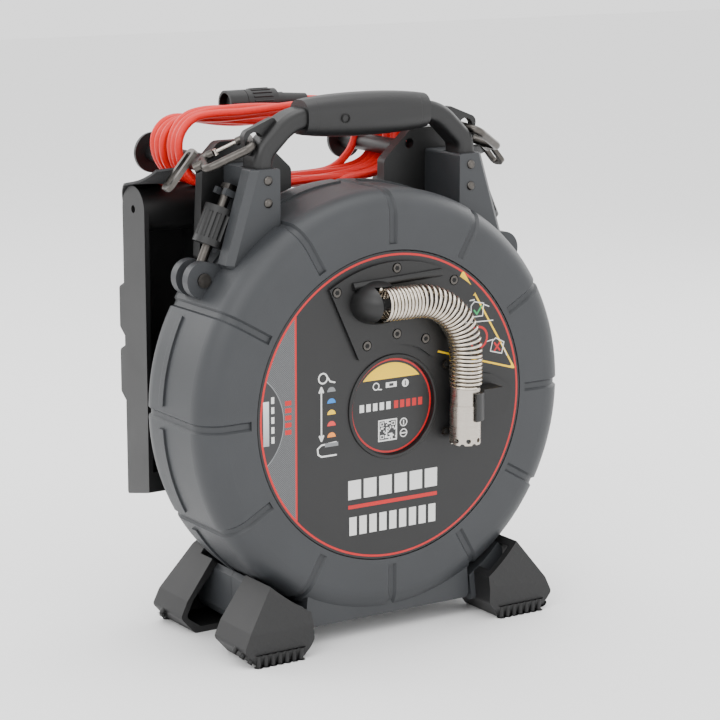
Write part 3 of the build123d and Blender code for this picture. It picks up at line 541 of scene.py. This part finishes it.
spring_steel, place = finish("spring_steel")
stain = place.noise(220.0, 3.0)
shade(place, stain.blend(rgb(186, 176, 162), rgb(222, 214, 202)), stain * 0.14 + 0.18, stain,
      0.00002, metal=1.0)
spring_curve = smooth_line("camera_spring_coils", coil_points, wire_radius * MM)
spring_curve.data.resolution_u = 1
spring_curve.data.bevel_resolution = 2
spring = as_mesh(spring_curve)
spring.data.materials.append(spring_steel)
bpy.ops.object.shade_smooth()
spring_start, spring_end = at(hood_x, spring_y, hood_z), at(spring_axis_x, spring_y, spring_end_z)
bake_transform(spring)
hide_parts("camera_spring")

push_points = [at(*spring_line(total_run * i / 24)[0]) for i in range(25)]
push_line = as_mesh(smooth_line("push_cable_in_spring", push_points, push_cable_r * MM))
push_line.data.materials.append(push_sheath)
bpy.ops.object.shade_smooth()
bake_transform(push_line)
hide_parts("push_cable_end")


# ---- Camera head ----
# Stainless head at the spring's end. Its crown guards the lens with a thick rim that is pierced
# by a ring of round flush holes, and has shallow notches between them.
crown_low, crown_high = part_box("camera_crown")
crown_middle = (crown_low + crown_high) / 2
crown_r = (crown_high.x - crown_low.x) / 2
crown_holes = 8
crown_wall, crown_cup, crown_hole_r, notch_r, drill_len = 2.6, 6.5, 1.9, 2.0, 8.0


def fresh(kind, name, place, turned=(0, 0, 0), **sizes):
    """A new primitive, alone in the selection."""
    bpy.ops.object.select_all(action="DESELECT")
    getattr(bpy.ops.mesh, f"primitive_{kind}_add")(location=place, rotation=turned, **sizes)
    made = bpy.context.object
    made.name = name
    bpy.ops.object.transform_apply(location=True, rotation=True, scale=True)
    return made


def edit_faces(piece, test):
    """Opens a piece for editing with only the faces that pass the test selected."""
    for polygon in piece.data.polygons:
        polygon.select = test(polygon.center, polygon.normal)
    for edge in piece.data.edges:
        edge.select = False
    for vertex in piece.data.vertices:
        vertex.select = False
    for polygon in piece.data.polygons:
        if polygon.select:
            for index in polygon.vertices:
                piece.data.vertices[index].select = True
    bpy.ops.object.mode_set(mode="EDIT")
    bpy.ops.mesh.select_mode(type="FACE")


def gather(name, pieces):
    """Joins several pieces into one."""
    bpy.ops.object.select_all(action="DESELECT")
    for piece in pieces:
        piece.select_set(True)
    bpy.context.view_layer.objects.active = pieces[0]
    bpy.ops.object.join()
    joined = bpy.context.object
    joined.name = name
    return joined


def dressed(piece, material, body):
    """Gives a finished piece its material, slot and, unless it bends, body, smooth but at sharp edges."""
    bpy.ops.object.select_all(action="DESELECT")
    piece.select_set(True)
    bpy.context.view_layer.objects.active = piece
    bpy.ops.object.shade_smooth_by_angle(angle=math.radians(35))
    piece.data.materials.clear()
    piece.data.materials.append(material)
    if body:
        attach(piece, body)
    return piece


def copies(model, name, places):
    """Copies of a model at the given 4x4 places, each with its own mesh, joined; the model goes."""
    made = []
    for matrix in places:
        copy = model.copy()
        copy.data = model.data.copy()
        copy.data.transform(matrix)
        bpy.context.collection.objects.link(copy)
        made.append(copy)
    bpy.data.objects.remove(model)
    return gather(name, made)


crown = fresh("cylinder", "camera_crown_pierced", crown_middle, vertices=96, radius=crown_r,
              depth=crown_high.z - crown_low.z)
edit_faces(crown, lambda centre, normal: normal.z < -0.9)
bpy.ops.mesh.inset(thickness=crown_wall * MM)
bpy.ops.mesh.extrude_region_move(TRANSFORM_OT_translate={"value": (0, 0, crown_cup * MM)})
bpy.ops.object.mode_set(mode="OBJECT")
drills = []
for k in range(crown_holes):
    angle = 2 * math.pi * (k + 0.5) / crown_holes
    out = Vector((math.cos(angle), math.sin(angle), 0))
    drills.append(fresh("cylinder", "drill", crown_middle + out * crown_r + Vector((0, 0, -0.4 * MM)),
                        turned=out.to_track_quat("Z", "Y").to_euler(), vertices=24,
                        radius=crown_hole_r * MM, depth=drill_len * MM))
    angle = 2 * math.pi * k / crown_holes
    out = Vector((math.cos(angle), math.sin(angle), 0))
    notch_at = Vector((crown_middle.x, crown_middle.y, crown_low.z - 0.6 * MM)) + out * crown_r
    drills.append(fresh("cylinder", "drill", notch_at, turned=out.to_track_quat("Z", "Y").to_euler(),
                        vertices=24, radius=notch_r * MM, depth=drill_len * MM))
drill = gather("crown_drills", drills)
cut = crown.modifiers.new("holes", "BOOLEAN")
cut.operation, cut.solver, cut.object = "DIFFERENCE", "EXACT", drill
bpy.ops.object.select_all(action="DESELECT")
crown.select_set(True)
bpy.context.view_layer.objects.active = crown
bpy.ops.object.modifier_apply(modifier=cut.name)
bpy.data.objects.remove(drill)
dressed(crown, steel, "camera")
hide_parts("camera_crown")

glass, place = finish("lens_glass")
dust = place.noise(800.0, 2.0)
shade(place, rgb(30, 34, 40), dust * 0.05 + 0.04, Transmission_Weight=0.85, IOR=1.5)
cover(glass, "lens_window")
light_face, place = finish("light_ring")
dots = place.noise(700.0, 1.0)
shade(place, dots.blend(rgb(238, 232, 190), rgb(250, 248, 226)), dots * 0.1 + 0.25)
cover(light_face, "light_ring")


# ---- Boots ----
# Black rubber cups on the four legs. The toe faces carry a pressed basket weave, and a row of
# rounded tread ribs runs along each sole's outer edge and up round its corner.
rubber, place = finish("boot_rubber")
x, y, z = place.xyz()
grain = place.noise(900.0, 3.0)
mottle = place.noise(18.0, 3.0)
facing = Term(place.socket.node.outputs["Normal"]).xyz()[1]
one_way, other_way = (x + z) * 90.0, (x - z) * 90.0
along, across = one_way % 1.0 - 0.5, other_way % 1.0 - 0.5
cell = ((one_way - one_way % 1.0) + (other_way - other_way % 1.0)) % 2.0 < 0.5
dash_one = (abs(along) < 0.42).both(abs(across) < 0.15)
dash_other = (abs(across) < 0.42).both(abs(along) < 0.15)
weave = (dash_one * cell).either(dash_other * (1 - cell)) * (abs(facing) > 0.6)
shade(place, (mottle * 0.7 + grain * 0.3).blend(rgb(9, 9, 10), rgb(17, 17, 18)), mottle * 0.12 + 0.5,
      weave + grain * 0.08, 0.0011)
cover(rubber, "front_boots", "rear_boots")

tread_r, tread_len, tread_pitch = 2.1, 10.0, 6.2
tread_in, tread_out, sole_ribs, corner_ribs = 94.0, 134.5, 7, 3
for name, toe_y, turn in (("front_boots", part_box("front_boots")[0].y, 1),
                          ("rear_boots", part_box("rear_boots")[1].y, -1)):
    rib = fresh("cylinder", "tread_rib", (0, 0, 0), vertices=16, radius=tread_r * MM, depth=tread_len * MM)
    edit_faces(rib, lambda centre, normal: abs(normal.z) > 0.9)
    bpy.ops.mesh.inset(thickness=0.05 * MM)
    bpy.ops.mesh.region_to_loop()
    bpy.ops.mesh.bevel(offset=1.6 * MM, segments=3)
    bpy.ops.object.mode_set(mode="OBJECT")
    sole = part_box(name)[0].z
    rib_places = []
    for side in (-1, 1):
        for k in range(sole_ribs):
            spot = Vector((side * (tread_in + tread_pitch * k) * MM, toe_y + 1.3 * turn * MM,
                           sole + tread_len / 2 * MM))
            rib_places.append(Matrix.Translation(spot))
        for k in range(corner_ribs):
            spot = Vector((side * (tread_out + 3.4 * k) * MM, toe_y + (4 + 6 * k) * turn * MM,
                           sole + (tread_len / 2 + 2.2 + 3.2 * k) * MM))
            rib_places.append(Matrix.Translation(spot) @ Matrix.Rotation(math.radians(-38 * side), 4, "Y"))
    treads = copies(rib, name + "_treads", rib_places)
    dressed(treads, rubber, "reel_case")


# ---- Grip ----
# Soft black over-moulding on the handle's bar, with a seam line near each end and a round blind
# hole low on its front.
grip_rubber, place = finish("grip_rubber")
x, y, z = place.xyz()
grain = place.noise(1100.0, 3.0)
mottle = place.noise(22.0, 3.0)
end_seams = abs(abs(x) - 47.0 * MM) < 0.5 * MM
shade(place, mottle.blend(rgb(7, 7, 8), rgb(14, 14, 15)), mottle * 0.12 + 0.42,
      grain * 0.15 - end_seams, 0.0005)
cover(grip_rubber, "grip")

# Near-black matte finish that paints the shade inside a hollow; it colours the screw sockets and the grip's
# blind hole.
hollow_painted_shade, place = finish("hollow_painted_shade")
shade(place, place.noise(300.0).blend(rgb(6, 6, 6), rgb(12, 12, 12)), place.noise(300.0) * 0.1 + 0.8)
grip_low, grip_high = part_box("grip")
eyelet_at = Vector((-25 * MM, grip_low.y + 0.3 * MM, (grip_low.z + grip_high.z) / 2 - 1 * MM))
# The blind hole is a ring with a 1.2 mm recess, all in the near-black painted-shade finish.
eyelet = fresh("cylinder", "grip_eyelet", eyelet_at, turned=(math.pi / 2, 0, 0), vertices=40,
               radius=3.6 * MM, depth=1.6 * MM)
edit_faces(eyelet, lambda centre, normal: normal.y < -0.9)
bpy.ops.mesh.inset(thickness=0.7 * MM)
bpy.ops.mesh.extrude_region_move(TRANSFORM_OT_translate={"value": (0, 1.2 * MM, 0)})
bpy.ops.object.mode_set(mode="OBJECT")
dressed(eyelet, hollow_painted_shade, "reel_case")


# ---- Shoulder strap ----
# One length of black webbing, tied by a flat ring to the snap hook on each side. It goes over the
# dock panel's ears and hangs in a loop down the panel's back, lying flat on it.
loop_low, loop_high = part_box("strap_loop")
end_low, end_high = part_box("strap_ends")
strap_w = 28.0 * MM
ear_at = at(0, 136.5, 148)
loop_y = (loop_low.y + loop_high.y) / 2
over_r = loop_y - ear_at.y
left_line = [Vector((-143 * MM, end_low.y + 1 * MM, end_high.z - 1 * MM)),
             Vector((-143 * MM, ear_at.y - 23 * MM, ear_at.z + over_r + 4 * MM))]
for k in range(7):
    angle = math.radians(15 * k)
    left_line.append(Vector(((-141 + 1.3 * k) * MM, ear_at.y + over_r * math.sin(angle),
                             ear_at.z + over_r * math.cos(angle))))
for x, z in ((-124, 104), (-111, 54), (-92, 4), (-62, -32), (-28, -45)):
    left_line.append(Vector((x * MM, loop_y, axis_z + z * MM)))
strap_line = left_line + [Vector((0, loop_y, axis_z - 47 * MM))]
strap_line += [Vector((-p.x, p.y, p.z)) for p in reversed(left_line)]


def passing_curve(points, share):
    """Point at a share of a smooth line through the points."""
    place = share * (len(points) - 1)
    i = min(int(place), len(points) - 2)
    t = place - i
    a, b, c, d = (points[min(max(i + k, 0), len(points) - 1)] for k in (-1, 0, 1, 2))
    return (b * 2 + (c - a) * t + (a * 2 - b * 5 + c * 4 - d) * t ** 2 + (b * 3 - a - c * 3 + d) * t ** 3) / 2


strap_steps = 180
strap_points = [passing_curve(strap_line, k / strap_steps) for k in range(strap_steps + 1)]
strap_length = sum((q - p).length for p, q in zip(strap_points, strap_points[1:]))
strap = fresh("grid", "shoulder_strap", (0, 0, 0), x_subdivisions=6, y_subdivisions=strap_steps, size=2)
for vertex in strap.data.vertices:
    across, k = vertex.co.x, round((vertex.co.y + 1) / 2 * strap_steps)
    here = strap_points[k]
    run = (strap_points[min(k + 1, strap_steps)] - strap_points[max(k - 1, 0)]).normalized()
    facing = Vector((0, here.y - ear_at.y, here.z - ear_at.z)) if here.z > ear_at.z else Vector((0, 1, 0))
    side = run.cross(facing).normalized()
    vertex.co = here + side * across * strap_w / 2
thick = strap.modifiers.new("thickness", "SOLIDIFY")
thick.thickness, thick.offset = 1.8 * MM, 0
bpy.ops.object.modifier_apply(modifier=thick.name)
webbing, place = finish("webbing")
place = Term(place.socket.node.outputs["UV"])
u, v, _ = place.xyz()
picks = abs((v * (strap_length / (1.5 * MM))) % 1.0 - 0.5)
warps = abs((u * 14.0 + (v * (strap_length / (3.0 * MM)) % 1.0) * 0.5) % 1.0 - 0.5)
fuzz = place.noise(160.0, 3.0)
shade(place, (picks * 0.8 + fuzz * 0.4).blend(rgb(14, 14, 15), rgb(46, 46, 48)), fuzz * 0.2 + 0.6,
      picks + warps, 0.0004)
dressed(strap, webbing, None)
at(0, 96, 170)
at(0, 134, 170)
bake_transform(strap)
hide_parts("strap_ends", "strap_loop")


# ---- Plug ----
# Screw-ring plug on the system cable's end: a black barrel with a ribbed coupling ring that a
# thumb and finger turn.
collar_low, collar_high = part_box("plug_collar")
collar_at = (collar_low + collar_high) / 2
collar_r, collar_len = (collar_high.z - collar_low.z) / 2, collar_high.x - collar_low.x
rib = fresh("cube", "collar_rib", (0, 0, 0), size=1)
rib.data.transform(Matrix.Diagonal((collar_len * 0.62, 1.5 * MM, 1.6 * MM, 1)))
edit_faces(rib, lambda centre, normal: normal.z > 0.9)
bpy.ops.mesh.bevel(offset=0.5 * MM, segments=3, affect="EDGES")
bpy.ops.object.mode_set(mode="OBJECT")
rib_places = [Matrix.Translation(collar_at) @ Matrix.Rotation(2 * math.pi * k / 18, 4, "X")
              @ Matrix.Translation((0, 0, collar_r)) for k in range(18)]
collar_ribs = copies(rib, "plug_collar_ribs", rib_places)
dressed(collar_ribs, black_plastic, "collar")


# ---- Screws ----
# Six-lobed sockets in the heads of the screws that hold the cable guide and the camera clip, each
# sunk in its pan head on the real screws; here each is a flat star of near-black painted shade laid just
# proud of the head.
def sockets(name, places, y, size):
    """Sockets of one size at their x, z places in mm, all at the same depth."""
    # Each socket is a flat star painted near-black as shade, not a real recess.
    star = fresh("cylinder", "socket", (0, 0, 0), turned=(math.pi / 2, 0, 0), vertices=24,
                 radius=size * MM, depth=0.3 * MM)
    for vertex in star.data.vertices:
        lobe = math.cos(6 * math.atan2(vertex.co.z, vertex.co.x))
        vertex.co.x, vertex.co.z = vertex.co.x * (1 + 0.13 * lobe), vertex.co.z * (1 + 0.13 * lobe)
    edit_faces(star, lambda centre, normal: abs(normal.y) > 0.9)
    bpy.ops.mesh.inset(thickness=0.25 * MM)
    bpy.ops.object.mode_set(mode="OBJECT")
    made = copies(star, name, [Matrix.Translation((x * MM, y, axis_z + z * MM)) for x, z in places])
    return dressed(made, hollow_painted_shade, "reel_case")


socket_r, socket_proud = 1.7, 0.05
guide_screw_places = [(1.2, 107.9), (-52.8, 93.9), (-25.9, 50.5), (1.4, 57), (54.2, 93.7), (27.9, 50.5)]
clip_screw_places = [(47, 28), (47, -25)]
sockets("guide_screw_sockets", guide_screw_places,
        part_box("guide_screws")[0].y - socket_proud * MM, socket_r)
sockets("clip_screw_sockets", clip_screw_places,
        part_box("clip_screws")[0].y - socket_proud * MM, socket_r)
